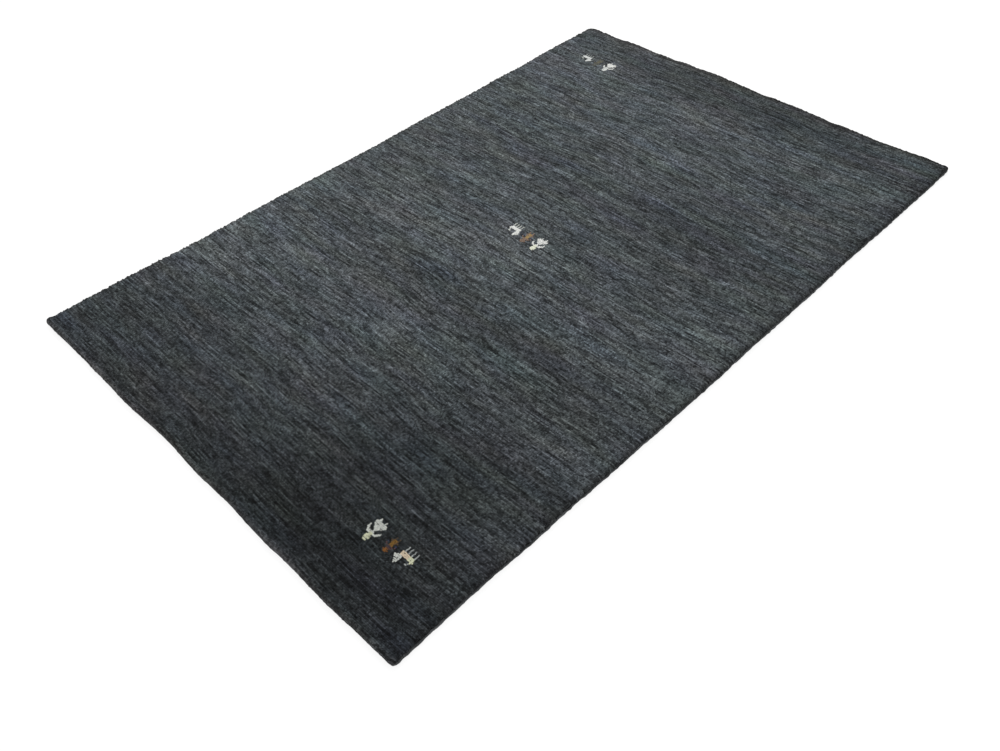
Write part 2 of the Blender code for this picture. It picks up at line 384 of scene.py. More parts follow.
# Woven back
WEB_INSET = 0.0052
WEB_HEIGHT = 0.0012
WEB_STEP = 0.010
WEB_KNOT = (0.0030, 0.0030)
WEB_TONE = -0.25
WEB_UNEVEN = Noise(0.12, (0.4, 2.5))
# Painted shade between the knot backs, lighter on their tops
WEB_KNOT_PAINTED_SHADE = (0.45, 1.15)
WEB_FIBRE_TONES = (0.70, 1.30)
WEB_FINENESS = 900

# Bump of each wool, as distance and strength, the fibres' share in it, and how fine the fibres are
PILE_BUMP = (0.0009, 0.7)
FIGURE_BUMP = (0.0004, 0.5)
CORD_BUMP = (0.0004, 0.6)
WEB_BUMP = (0.0008, 0.7)
FIBRE_SHARE = 0.8
FIBRE_FINENESS = (1600, 1600, 260)
WOOL_GLOSS = 0.12
WEB_GLOSS = 0.15

# Camera, fitted to the picture's perspective: it looks at a spot on the floor, rolled a little; and light
CAMERA_PLACE = (1.06109, -1.08669, 1.18932)
CAMERA_AIM = (0.2259, -0.3051, 0.0)
CAMERA_ROLL = math.radians(-2.929)
CAMERA_LENS = 33.414
CAMERA_CLIP = (0.05, 60.0)
SENSOR_WIDTH = 36.0
SKY_STRENGTH = 1.0
KEY_PLACE = (-1.6, 1.7, 2.6)
KEY_SIZE = 2.4
KEY_POWER = 57.5
FLOOR_GLOW = 0.82
FLOOR_COLOUR = (0.20, 0.20, 0.20)
FLOOR_SIZE = 30.0
FLOOR_DROP = 0.0002

chance = np.random.default_rng(20)


def smooth_step(share):
    """0 to 1 with a level start and end: three times the square less twice the cube."""
    share = np.clip(share, 0.0, 1.0)
    return share * share * (3 - 2 * share)


def mix(low, high, share):
    """The value that lies that share of the way from low to high."""
    return low + (high - low) * share


def soft_noise(shape, reach):
    """Even noise of unit spread, blurred by a bell curve of that reach, in cells, along each axis."""
    waves = np.fft.rfft2(chance.standard_normal(shape))
    down = np.fft.fftfreq(shape[0])[:, None] * reach[0]
    across = np.fft.rfftfreq(shape[1])[None, :] * reach[1]
    waves = waves * np.exp(-2 * math.pi ** 2 * (down ** 2 + across ** 2))
    noise = np.fft.irfft2(waves, s=shape)
    return (noise - noise.mean()) / noise.std()


def capped(noise, most=2):
    """Noise with its rare high and low peaks cut off."""
    return noise.clip(-most, most)


def run_along(places):
    """Distance run at each of a line of places: the sum of the steps so far."""
    return np.concatenate([[0], np.cumsum(np.linalg.norm(np.diff(places, axis=0), axis=1))])


def over_rim(values):
    """Values on the crown's grid, carried on unchanged over the rim's levels."""
    return np.pad(values, LEVELS, mode="edge")


def grid_cells(index):
    """The four corners of each cell of a grid of point numbers, counterclockwise from above."""
    cells = np.stack([index[:-1, :-1], index[:-1, 1:], index[1:, 1:], index[1:, :-1]], axis=-1)
    return cells.reshape(-1, 4)


def edge_out(side, share):
    """How far a side stands out, eased from one of its stations to the next."""
    shares, outs = np.array(EDGES[side]).T
    low = np.clip(np.searchsorted(shares, share, side="right") - 1, 0, len(shares) - 2)
    eased = smooth_step((share - shares[low]) / (shares[low + 1] - shares[low]))
    return mix(outs[low], outs[low + 1], eased)


def corner_centre(name):
    """The middle of a corner's rounding, in plan."""
    corner = CORNERS[name]
    half_x = WIDTH / 2 - PILE_SETBACK + corner.x_out - corner.radius
    half_y = LENGTH / 2 + corner.y_out - corner.radius
    return np.array([corner.x_way * half_x, corner.y_way * half_y]) + plan_shift


def side_points(side, share):
    """Places and outward directions along a side between its roundings.

    The place is the straight line between the two roundings plus the edge's unevenness, outwards; the
    direction is square to the line that the places make.
    """
    low, high, outward = {
        "right": ("near_right", "far_right", (1, 0)),
        "left": ("near_left", "far_left", (-1, 0)),
        "near": ("near_left", "near_right", (0, -1)),
        "far": ("far_left", "far_right", (0, 1)),
    }[side]
    outward = np.array(outward, float)
    start = corner_centre(low) + outward * CORNERS[low].radius
    end = corner_centre(high) + outward * CORNERS[high].radius
    fine = np.linspace(0, 1, OUTLINE_SAMPLES)
    out = edge_out(side, fine)
    slope = np.gradient(out, fine * np.linalg.norm(end - start))
    along = (end - start) / np.linalg.norm(end - start)
    place = start + (end - start) * share[:, None] + outward * edge_out(side, share)[:, None]
    turned = outward - along * np.interp(share, fine, slope)[:, None]
    return place, turned / np.linalg.norm(turned, axis=1, keepdims=True)


def crown_height(x, y):
    """Height of the pile's tips: the thickness less a soft swell, a sum of three sine waves."""
    top = sum(wave.height for wave in CROWN_WAVES)
    swell = sum(
        wave.height * np.sin(2 * math.pi * (x / wave.across + y / wave.along) + wave.phase)
        for wave in CROWN_WAVES
    )
    return THICKNESS - top + swell


def rim_lean(section):
    """Angle above level of each rim level's outward direction: from the steps in inset and in height."""
    inset_step = np.gradient(section[:, 0])
    height_step = np.gradient(section[:, 1])
    return np.arctan2(inset_step, height_step)


def rim_points(place, outward, seat, level):
    """Points of the rim and their outward directions.

    A point is the outline's place set in by its level's inset, at its level's height; seat blends the
    section of a long side, 1, with that of a turned end, 0.
    """
    inset = mix(RIM_AT_END[level, 0], RIM_AT_SIDE[level, 0], seat)
    height = mix(RIM_AT_END[level, 1], RIM_AT_SIDE[level, 1], seat)
    lean = mix(rim_lean(RIM_AT_END)[level], rim_lean(RIM_AT_SIDE)[level], seat)
    spot = place - outward * inset[..., None]
    share = np.clip((height - SEAT_HEIGHT) / (THICKNESS - SEAT_HEIGHT), 0, 1)
    height = height - (THICKNESS - crown_height(spot[..., 0], spot[..., 1])) * share
    points = np.concatenate([spot, height[..., None]], axis=-1)
    facing = np.concatenate([outward * np.cos(lean)[..., None], np.sin(lean)[..., None]], axis=-1)
    return points, facing


def row_lines(length):
    """Shares of the length at which the lines across the rug lie.

    Each row of knots has a line in the groove before it and one on its crest, and rows differ in width.
    """
    widths = 1 + ROW_UNEVEN * chance.uniform(-1, 1, round(length / ROW_PITCH))
    starts = np.concatenate([[0.0], np.cumsum(widths)]) / widths.sum()
    lines = starts[:-1, None] + np.diff(starts)[:, None] * np.array(LINE_PLACES)
    return np.append(lines.ravel(), 1.0)


def to_lines(rows):
    """Values by row turned into values by line: a crest has its row's, a groove the mean of its two rows'."""
    lines = np.repeat(rows, len(LINE_PLACES), axis=0)
    lines[len(LINE_PLACES)::len(LINE_PLACES)] = (rows[1:] + rows[:-1]) / 2
    return np.concatenate([lines, rows[-1:]])


def crown_corner(name):
    """Where the crown's edge lines meet at a corner: almost square, set in from the outline."""
    corner = CORNERS[name]
    reach = (corner.radius - RIM_AT_SIDE[-1, 0]) * CROWN_SQUARENESS
    return corner_centre(name) + np.array([corner.x_way, corner.y_way]) * reach


def pile_grid():
    """The whole pile as one grid of points with outward directions.

    Inner lines: x is a share between the left and right crown edges, y a share between the near and far
    ones, z the crown's height. Outer lines: the rim's levels. In a corner's block the level is the lesser of
    the two, and the turn round the corner goes by their difference.
    """
    corners = {name: crown_corner(name) for name in CORNERS}
    across = np.linspace(0, 1, round((WIDTH - CROWN_MARGIN_X) / COLUMN_STEP) + 1)
    along = row_lines(LENGTH - CROWN_MARGIN_Y)
    rim = {}
    levels = np.arange(LEVELS)[None, :]
    for side, low, high, axis, shares in (
        ("left", "near_left", "far_left", 1, along),
        ("right", "near_right", "far_right", 1, along),
        ("near", "near_left", "near_right", 0, across),
        ("far", "far_left", "far_right", 0, across),
    ):
        spot = mix(corners[low][axis], corners[high][axis], shares)
        start = corner_centre(low)[axis]
        end = corner_centre(high)[axis]
        skew = (start - spot[0]) * (1 - smooth_step((spot - spot[0]) / SKEW_REACH))
        skew = skew + (end - spot[-1]) * (1 - smooth_step((spot[-1] - spot) / SKEW_REACH))
        place, outward = side_points(side, np.clip((spot + skew - start) / (end - start), 0, 1))
        seat = np.full((len(spot), 1), float(axis))
        crown = place - outward * RIM_AT_SIDE[-1, 0]
        rim[side] = rim_points(place[:, None], outward[:, None], seat, levels), crown

    columns = len(across) + 2 * LEVELS
    lines = len(along) + 2 * LEVELS
    points = np.zeros((lines, columns, 3))
    facing = np.zeros((lines, columns, 3))

    left_x, right_x = rim["left"][1][:, 0], rim["right"][1][:, 0]
    near_y, far_y = rim["near"][1][:, 1], rim["far"][1][:, 1]
    near_y[0], near_y[-1] = corners["near_left"][1], corners["near_right"][1]
    far_y[0], far_y[-1] = corners["far_left"][1], corners["far_right"][1]
    for edge, names in ((left_x, ("near_left", "far_left")), (right_x, ("near_right", "far_right"))):
        edge[0], edge[-1] = corners[names[0]][0], corners[names[1]][0]
    x = mix(left_x[:, None], right_x[:, None], across[None, :])
    y = mix(near_y[None, :], far_y[None, :], along[:, None])
    wander = soft_noise(x.shape, WANDER.reach)
    wander = wander * np.minimum(1, WANDER_FROM_ENDS * along * (1 - along))[:, None]
    wander = wander * np.minimum(1, WANDER_FROM_SIDES * across * (1 - across))[None, :]
    points[CROWN, CROWN, 0] = x
    points[CROWN, CROWN, 1] = y + WANDER.amount * wander
    points[CROWN, CROWN, 2] = crown_height(x, y)
    facing[CROWN, CROWN, 2] = 1.0

    for side, column_of in (("left", FIRST_LEVELS), ("right", LAST_LEVELS)):
        points[CROWN, column_of], facing[CROWN, column_of] = rim[side][0]
    for side, line_of in (("near", FIRST_LEVELS), ("far", LAST_LEVELS)):
        made, turned = rim[side][0]
        points[line_of, CROWN] = made.transpose(1, 0, 2)
        facing[line_of, CROWN] = turned.transpose(1, 0, 2)

    by_line, by_column = np.meshgrid(np.arange(LEVELS), np.arange(LEVELS), indexing="ij")
    level = np.minimum(by_line, by_column)
    turn = math.pi / 4 * (1 + (by_line - by_column) / (LEVELS - level))
    for name, corner in CORNERS.items():
        outward = np.stack([corner.x_way * np.sin(turn), corner.y_way * np.cos(turn)], axis=-1)
        place = corner_centre(name) + outward * corner.radius
        seat = 1 - smooth_step((math.pi / 2 - turn - SEAT_TURN[0]) / (SEAT_TURN[1] - SEAT_TURN[0]))
        made, turned = rim_points(place, outward, seat, level)
        line_of = FIRST_LEVELS if corner.y_way < 0 else LAST_LEVELS
        column_of = FIRST_LEVELS if corner.x_way < 0 else LAST_LEVELS
        points[line_of, column_of] = made
        facing[line_of, column_of] = turned
    return points, facing, along, across


def broad_shade(x, y):
    """Soft light and dark areas, partly bands of dye and partly painted shade and light: the sum of a few
    bell curves, each with its own middle and reach.
    """
    return sum(
        shade.tone * np.exp(-((x - shade.x) / shade.reach_x) ** 2 - ((y - shade.y) / shade.reach_y) ** 2)
        for shade in SHADES
    )


def wool_colour(x, y, tone, tints):
    """Charcoal times the exponential of the broad shading, partly painted shade and light, a tone and tints.
    """
    shift = tone[..., None] + broad_shade(x, y)[..., None] * SHADE_WAY
    return CHARCOAL * np.exp(shift + sum(amount[..., None] * tint.way for tint, amount in zip(TINTS, tints)))


def tint_noise(shape, line_step, column_step):
    """One even noise for each tint, blurred by the tint's own reaches."""
    return [soft_noise(shape, (tint.down / line_step, tint.wide / column_step)) for tint in TINTS]


def edge_shadows(points):
    """Painted shade along the right, left and far edges and painted light along the near one, with a browner
    tint, each easing off inwards.
    """
    x, y = points[..., 0], points[..., 1]
    rim = RIM_AT_SIDE[-1, 0]
    left, right = (over_rim(x[CROWN, at])[:, None] for at in (LEVELS, -LEVELS - 1))
    near, far = (over_rim(y[at, CROWN])[None, :] for at in (LEVELS, -LEVELS - 1))
    inside = {"right": right + rim - x, "left": x - left + rim, "near": y - near + rim, "far": far + rim - y}
    shift = 0.0
    for shadow in EDGE_SHADOWS:
        share = 1 - smooth_step(inside[shadow.side] / shadow.reach)
        shift = shift + share[..., None] * (shadow.tone + shadow.tint * EDGE_SHADE_TINT)
    return np.exp(shift)


def weave_place(points):
    """Each grid point's place in the weave: its distance across the rug, and its row's number.

    Both run on over the rim, by the length of the rim's steps at the middle of the rug.
    """
    lines, columns = points.shape[:2]
    across = run_along(points[lines // 2])
    step_along = np.linalg.norm(np.diff(points[:, columns // 2], axis=0), axis=1) / ROW_PITCH
    step_along[CROWN] = 1 / len(LINE_PLACES)
    row = np.concatenate([[0], np.cumsum(step_along)])
    row = row - row[LEVELS] + LEVELS
    return np.stack(np.broadcast_arrays(across[None, :], row[:, None], 0.0), axis=-1)


def dress_pile(points, facing, along, across):
    """Moves the grid's points along their outward directions by the relief, and gives their colours.

    Relief is the groove between rows, each row's own height, which drifts along it, and each tuft's.
    Tone is each row's own yarn, which drifts along it too, in long streaks and in short ones, each tuft's,
    and a painted shade in the grooves. The colour also takes the broad painted shading and the painted shade
    and light along the edges.
    """
    rows = (len(along) - 1) // len(LINE_PLACES)
    columns = len(across)
    shadows = edge_shadows(points)
    yarn = 0.0
    height = 0.0
    for streak in STREAKS:
        reach = (0.0, streak.reach / COLUMN_STEP)
        yarn = yarn + streak.tone * to_lines(soft_noise((rows, columns), reach))
        height = height + streak.height * capped(to_lines(soft_noise((rows, columns), reach)))
    band = to_lines(soft_noise((rows, columns), BAND_TONE.reach))
    tuft = soft_noise((len(along), columns), TUFT_REACH)
    groove = np.zeros((len(along), columns))
    uneven = capped(soft_noise((rows + 1, columns), GROOVE_UNEVEN.reach))
    groove[::len(LINE_PLACES)] = GROOVE_DEPTH + GROOVE_UNEVEN.amount * uneven
    groove[[0, -1]] = 0.0
    row_end = np.repeat(capped(chance.standard_normal(rows))[:, None], columns, axis=1)
    row_end = to_lines(row_end)

    yarn, height, band, tuft, row_end = (over_rim(part) for part in (yarn, height, band, tuft, row_end))
    groove = np.pad(groove, ((0, 0), (LEVELS, LEVELS)), mode="edge")
    groove = np.pad(groove, ((LEVELS, LEVELS), (0, 0)))
    lines, columns = points.shape[:2]
    ribs = END_TUFT * soft_noise((2, columns), (0.0, 0.0))
    ribs = ribs + END_SWELL * soft_noise((2, columns), END_SWELL_REACH)
    ribs = np.repeat(ribs, (LEVELS, lines - LEVELS), axis=0)
    by_line = np.minimum(np.arange(lines), np.arange(lines)[::-1])[:, None]
    by_column = np.minimum(np.arange(columns), np.arange(columns)[::-1])[None, :]
    level = np.minimum(by_line, by_column)
    weight = np.clip((level - FLAT_LEVELS) / GROWING_LEVELS, 0, 1)
    on_end = (by_line < LEVELS) & (by_column >= LEVELS)
    on_side = 1 - np.clip(by_column / LEVELS, 0, 1) ** 2
    relief = -GROOVE * groove + height + TUFT_HEIGHT * capped(tuft)
    relief = relief + capped(ribs, END_MOST) * on_end + ROW_ENDS * row_end * on_side
    points = points + facing * (relief * weight)[..., None]

    # Painted shade in the grooves between rows darkens the tone
    tone = yarn + BAND_TONE.amount * band + TUFT_TONE * tuft + GROOVE_PAINTED_SHADE * groove
    tints = tint_noise((rows, len(across)), ROW_PITCH, COLUMN_STEP)
    tints = [over_rim(to_lines(tint)) for tint in tints]
    # The broad painted shading and the painted shade and light along the edges go into the colour
    colours = wool_colour(points[..., 0], points[..., 1], tone, tints) * shadows
    return points, colours


def new_object(name, data):
    """A new object with that data, linked to the scene."""
    thing = bpy.data.objects.new(name, data)
    bpy.context.scene.collection.objects.link(thing)
    return thing


def build_mesh(name, verts, faces, colours, corners_uv=None, sharp=None, weave=None):
    """A smooth shaded object at the origin from arrays.

    The faces come as a list of arrays, one for each size of face. The map has a place for each corner of
    each face. An edge stays sharp where both its points are marked so.
    """
    data = bpy.data.meshes.new(name)
    sizes = np.concatenate([np.full(len(f), f.shape[1]) for f in faces])
    loops = np.concatenate([f.ravel() for f in faces])
    data.vertices.add(len(verts))
    data.vertices.foreach_set("co", np.ascontiguousarray(verts, np.float32).ravel())
    data.loops.add(len(loops))
    data.loops.foreach_set("vertex_index", loops.astype(np.int32))
    data.polygons.add(len(sizes))
    data.polygons.foreach_set("loop_start", np.concatenate([[0], np.cumsum(sizes)[:-1]]).astype(np.int32))
    data.update(calc_edges=True)
    data.shade_smooth()
    wool = data.attributes.new("wool", "FLOAT_COLOR", "POINT")
    with_alpha = np.concatenate([colours, np.ones((len(verts), 1))], axis=1)
    wool.data.foreach_set("color", with_alpha.astype(np.float32).ravel())
    if weave is not None:
        place = data.attributes.new("weave", "FLOAT_VECTOR", "POINT")
        place.data.foreach_set("vector", weave.astype(np.float32).ravel())
    if corners_uv is not None:
        layer = data.uv_layers.new(name="OFBake")
        layer.uv.foreach_set("vector", corners_uv.astype(np.float32).ravel())
    if sharp is not None:
        ends = np.zeros(len(data.edges) * 2, np.int32)
        data.edges.foreach_get("vertices", ends)
        ends = ends.reshape(-1, 2)
        edge_sharp = data.attributes.new("sharp_edge", "BOOLEAN", "EDGE")
        edge_sharp.data.foreach_set("value", sharp[ends].all(axis=1))
    return new_object(name, data)


def pile_band(name, points, colours, weave, first, last):
    """One band of the pile, from one line to another, as a closed body.

    Its top is the grid's cells. Underneath, each line's two feet are joined straight across, and its first
    and last lines are closed by a flat face each.
    """
    columns = points.shape[1]
    final = len(points) - 1
    points = points[first:last + 1]
    lines = len(points)
    index = np.arange(lines * columns).reshape(lines, columns)
    top = grid_cells(index)
    under = np.stack([index[:-1, -1], index[:-1, 0], index[1:, 0], index[1:, -1]], axis=-1)
    ends = np.stack([index[0, ::-1], index[-1]])
    u = run_along(points[lines // 2])
    v = run_along(points[:, columns // 2])
    u = MAP_TOP[0] + MAP_TOP[1] * u / u[-1]
    v = MAP_ALONG[0] + MAP_ALONG[1] * v / v[-1]
    grid_uv = np.stack(np.meshgrid(u, v), axis=-1).reshape(-1, 2)
    under_uv = np.stack(np.meshgrid(MAP_UNDER, v), axis=-1)
    under_uv = np.stack([under_uv[:-1, 0], under_uv[:-1, 1], under_uv[1:, 1], under_uv[1:, 0]], axis=1)
    end_uv = []
    for side, (line, foot) in enumerate(((ends[0], first == 0), (ends[1], last == final))):
        spot = points.reshape(-1, 3)[line]
        rise = np.abs(spot[:, 1]) if foot else spot[:, 2]
        rise = (rise - rise.min()) / np.ptp(rise)
        run = (spot[:, 0] - spot[:, 0].min()) / np.ptp(spot[:, 0])
        end_u = MAP_END + MAP_END_STEP * side + MAP_END_SPAN * rise
        end_uv.append(np.stack([end_u, MAP_ALONG[0] + MAP_ALONG[1] * run], axis=-1))
    corners_uv = np.concatenate([grid_uv[top].reshape(-1, 2), under_uv.reshape(-1, 2), *end_uv])
    sharp = np.zeros(lines * columns, bool)
    sharp[index[0]] = True
    sharp[index[-1]] = True
    sharp[index[:, [0, -1]]] = True
    colours = colours[first:last + 1].reshape(-1, 3)
    weave = weave[first:last + 1].reshape(-1, 3)
    return build_mesh(name, points.reshape(-1, 3), [top, under, ends], colours, corners_uv, sharp, weave)


def figure_knots(figure, mirrored):
    """Places, half widths and yarn colours of a figure's knots, one for each letter of its chart."""
    chart = np.array([list(row) for row in figure.chart])
    if mirrored:
        chart = chart[:, ::-1]
    row, column = np.nonzero(chart != ".")
    x = figure.x + (column - (chart.shape[1] - 1) / 2) * figure.across
    y = figure.y - row * figure.along
    yarn = np.array([figure.yarns[letter] for letter in chart[row, column]])
    half = np.broadcast_to([figure.across / 2, figure.along / 2], (len(x), 2))
    return np.stack([x, y], axis=1), half, yarn


def tuft_patch(name, group):
    """A group's figures as tufts: each is a rounded square prism with a domed top, rooted in the pile.

    A ring's point is the knot's place plus its half width times the ring's share times the superellipse
    radius at its angle; each ring has its own depth under the tuft's tip.
    """
    made = [figure_knots(figure, group.mirrored) for figure in group.figures]
    spots, half, yarns = (np.concatenate(part) for part in zip(*made))
    count = len(spots)
    spots = spots + chance.normal(0, KNOT_SHIFT, spots.shape)
    spots[:, 0] += KNOT_WAVE * np.sin(spots[:, 1] * KNOT_WAVE_RATE)
    half = half * TUFT_SPREAD * (1 + KNOT_SIZE * capped(chance.standard_normal((count, 1))))
    tip = crown_height(spots[:, 0], spots[:, 1]) + TUFT_PROUD + chance.normal(0, KNOT_HEIGHT, count)
    angle = 2 * math.pi * (np.arange(TUFT_SIDES) + 0.5) / TUFT_SIDES
    power = TUFT_SQUARENESS
    radius = (np.abs(np.cos(angle)) ** power + np.abs(np.sin(angle)) ** power) ** (-1 / power)
    ring = np.stack([np.cos(angle), np.sin(angle)], axis=1) * radius[:, None]
    share, depth = np.array(TUFT_RINGS).T
    lean = chance.normal(0, KNOT_LEAN, (count, 1, 1, 2)) * (1 - share / share.max())[None, :, None, None]
    plan = spots[:, None, None] + half[:, None, None] * ring[None, None] * share[None, :, None, None] + lean
    rise = np.broadcast_to((tip[:, None] + depth)[:, :, None, None], plan.shape[:3] + (1,))
    rings = np.concatenate([plan, rise], axis=-1).reshape(count, -1, 3)
    centre = np.concatenate([spots, tip[:, None]], axis=1)[:, None]
    verts = np.concatenate([rings, centre], axis=1)
    each = verts.shape[1]
    here = np.arange(TUFT_SIDES)
    after = np.roll(here, -1)
    base = np.arange(len(TUFT_RINGS) - 1)[:, None] * TUFT_SIDES
    above = base + TUFT_SIDES
    walls = np.stack([base + here, base + after, above + after, above + here], axis=-1)
    last = (len(TUFT_RINGS) - 1) * TUFT_SIDES
    caps = np.stack([last + here, last + after, np.full(TUFT_SIDES, each - 1)], axis=-1)
    root = here[::-1][None, :]
    start = (np.arange(count) * each)[:, None, None]
    faces = [
        (walls.reshape(1, -1, 4) + start).reshape(-1, 4),
        (caps[None] + start).reshape(-1, 3),
        (root[None] + start).reshape(-1, TUFT_SIDES),
    ]
    tone = np.exp(KNOT_TONE * chance.standard_normal((count, 1, 1)))
    # Painted shade: each tuft's lower rings darker, towards its root
    shade = np.append(np.repeat(TUFT_ROOT_PAINTED_SHADES[:-1], TUFT_SIDES), TUFT_ROOT_PAINTED_SHADES[-1])
    colours = yarns[:, None] * tone * shade[None, :, None]
    return build_mesh(name, verts.reshape(-1, 3), faces, colours.reshape(-1, 3))


def cord_route(side):
    """Evenly spaced places, outward directions and sizes along a cord.

    The route is the rug's side and most of each corner's turn, set in by half the cord's width. The size
    is one, and eases down round the corner once the cord has turned by the taper's angle.
    """
    way = 1 if side == "right" else -1
    angle = np.linspace(CORD_TURN, 0, TURN_SAMPLES)[:-1]
    slim = 1 - (1 - CORD_END_SIZE) * smooth_step((angle - CORD_TAPER) / (CORD_TURN - CORD_TAPER))
    pieces = []
    for end, name in ((-1, f"near_{side}"), (1, f"far_{side}")):
        outward = np.stack([way * np.cos(angle), end * np.sin(angle)], axis=1)
        place = corner_centre(name) + outward * CORNERS[name].radius
        turn = place, outward, slim
        pieces.append(turn if end < 0 else [part[::-1] for part in turn])
    middle = *side_points(side, np.linspace(0, 1, SIDE_SAMPLES)), np.ones(SIDE_SAMPLES)
    place, outward, size = (np.concatenate(parts) for parts in zip(pieces[0], middle, pieces[1]))
    place = place + outward * (PILE_SETBACK - CORD_WIDTH / 2)
    run = run_along(place)
    even = np.arange(0, run[-1], CORD_STEP)
    place = np.stack([np.interp(even, run, place[:, k]) for k in (0, 1)], axis=1)
    outward = np.stack([np.interp(even, run, outward[:, k]) for k in (0, 1)], axis=1)
    outward = outward / np.linalg.norm(outward, axis=1, keepdims=True)
    return even, place, outward, np.interp(even, run, size)


def overcast_cord(name, side):
    """A cord along one long side, wound closely with yarn.

    Its section is an ellipse carried along the route. The radius dips between turns of the winding, which
    run round at a slant, swells and narrows in slow lumps, and closes to a point at both ends.
    """
    run, place, outward, size = cord_route(side)
    angle = 2 * math.pi * np.arange(CORD_SIDES) / CORD_SIDES
    turn = run[:, None] / WRAP_PITCH + WRAP_LEAN * np.sin(angle)[None, :]
    turn = turn + WRAP_DRIFT.amount * soft_noise((len(run), 1), WRAP_DRIFT.reach)
    ridge = 1 - WRAP_DEPTH * (1 - np.abs(np.sin(math.pi * turn)) ** WRAP_ROUND)
    lump_reach = LUMP_LENGTH / CORD_STEP / 2
    lumps = soft_noise((len(run), CORD_SIDES), (lump_reach, LUMP_ROUND))
    lumps = 1 - LUMP_DEPTH * (0.5 + 0.5 * capped(lumps, LUMP_MOST) / LUMP_MOST)
    nearest = np.minimum(run, run[-1] - run)
    tip = np.sqrt(1 - (1 - np.clip(nearest / CORD_TIP_LENGTH, 0, 1)) ** 2)
    radius = ridge * lumps * np.maximum(tip, CORD_TIP_SIZE)[:, None]
    sway = CORD_SWAY * soft_noise((len(run), 1), (lump_reach, 0)).clip(-1, 2)
    out = CORD_WIDTH / 2 * np.cos(angle) * radius * size[:, None] + sway
    height = CORD_HEIGHT / 2 * (1 + np.sin(angle) * radius) * size[:, None]
    height = np.maximum(height, CORD_LIFT)
    verts = np.concatenate([place[:, None] + outward[:, None] * out[..., None], height[..., None]], axis=-1)
    rings = len(run)
    index = np.arange(rings * CORD_SIDES).reshape(rings, CORD_SIDES)
    after = np.roll(index, -1, axis=1)
    walls = np.stack([index[:-1], after[:-1], after[1:], index[1:]], axis=-1).reshape(-1, 4)
    ends = np.stack([index[0, ::-1], index[-1]])
    if side == "right":
        walls = walls[:, ::-1]
        ends = ends[:, ::-1]
    tone = sum(part.amount * soft_noise((rings, CORD_SIDES), part.reach) for part in CORD_TONES)
    # Painted shade in the dips between turns of the winding
    tone = tone + WRAP_DIP_PAINTED_SHADE * (ridge - 1)
    # Painted light: the cord lighter near both ends, round the corners
    tone = tone + CORD_END_PAINTED_LIGHT * (1 - smooth_step(nearest / CORD_END_REACH))[:, None]
    colours = CORD_YARN * np.exp(tone)[..., None]
    return build_mesh(name, verts.reshape(-1, 3), [walls, ends], colours.reshape(-1, 3))


def woven_back():
    """The woven back: a thin level sheet inside the pile's foot line, closed over and under.

    A point is a share between the left and right feet and a share between the near and far ones, at the
    floor for the under face and at the sheet's thickness for the upper one.
    """
    foot_x = WIDTH / 2 - PILE_SETBACK - WEB_INSET
    foot_y = LENGTH / 2 - WEB_INSET
    across = np.linspace(0, 1, round(2 * foot_x / WEB_STEP) + 1)
    along = np.linspace(0, 1, round(2 * foot_y / WEB_STEP) + 1)
    left = side_points("left", along)[0][:, 0] + WEB_INSET
    right = side_points("right", along)[0][:, 0] - WEB_INSET
    near = side_points("near", across)[0][:, 1] + WEB_INSET
    far = side_points("far", across)[0][:, 1] - WEB_INSET
    x = mix(left[:, None], right[:, None], across[None, :])
    y = mix(near[None, :], far[None, :], along[:, None])
    lines, columns = x.shape
    low = np.stack([x, y, np.zeros_like(x)], axis=-1).reshape(-1, 3)
    high = np.stack([x, y, np.full_like(x, WEB_HEIGHT)], axis=-1).reshape(-1, 3)
    index = np.arange(lines * columns).reshape(lines, columns)
    over = grid_cells(index)
    hem = np.concatenate([index[0, :-1], index[:-1, -1], index[-1, :0:-1], index[:0:-1, 0]])
    after = np.roll(hem, -1)
    count = lines * columns
    wall = np.stack([hem, after, after + count, hem + count], axis=-1)
    verts = np.concatenate([low, high])
    tone = WEB_UNEVEN.amount * soft_noise((lines, columns), WEB_UNEVEN.reach) + WEB_TONE
    tints = tint_noise((lines, columns), WEB_STEP, WEB_STEP)
    colours = wool_colour(x, y, tone, tints).reshape(-1, 3)
    faces = [np.concatenate([over[:, ::-1], over + count, wall])]
    return build_mesh("woven_back", verts, faces, np.concatenate([colours, colours]))


def add_node(tree, kind, settings=None, inputs=None):
    """A node of that kind with its own settings and unlinked inputs."""
    made = tree.nodes.new(kind)
    for name, value in (settings or {}).items():
        setattr(made, name, value)
    for name, value in (inputs or {}).items():
        made.inputs[name].default_value = value
    return made


def stretched_place(tree, scale):
    """The object's own coordinates, times a scale along each axis."""
    place = add_node(tree, "ShaderNodeTexCoord")
    mapping = add_node(tree, "ShaderNodeMapping", inputs={"Scale": scale})
    tree.links.new(place.outputs["Object"], mapping.inputs["Vector"])
    return mapping.outputs["Vector"]


def ranged(tree, value, low, high, least=0.0, most=1.0):
    """A value between least and most brought to the range from low to high."""
    limits = {"From Min": least, "From Max": most, "To Min": low, "To Max": high}
    made = add_node(tree, "ShaderNodeMapRange", inputs=limits)
    tree.links.new(value, made.inputs["Value"])
    return made.outputs["Result"]


def scaled(tree, colour, amount):
    """A colour times an amount."""
    made = add_node(tree, "ShaderNodeVectorMath", {"operation": "SCALE"})
    tree.links.new(colour, made.inputs[0])
    tree.links.new(amount, made.inputs["Scale"])
    return made.outputs["Vector"]


def calculated(tree, operation, first, second):
    """Two values put together by a Math node; the second may be a plain number."""
    made = add_node(tree, "ShaderNodeMath", {"operation": operation})
    tree.links.new(first, made.inputs[0])
    if isinstance(second, (int, float)):
        made.inputs[1].default_value = second
    else:
        tree.links.new(second, made.inputs[1])
    return made.outputs["Value"]


def new_material(name):
    """A new material with its nodes, and its shader."""
    material = bpy.data.materials.new(name)
    material.use_nodes = True
    return material, material.node_tree.nodes["Principled BSDF"]


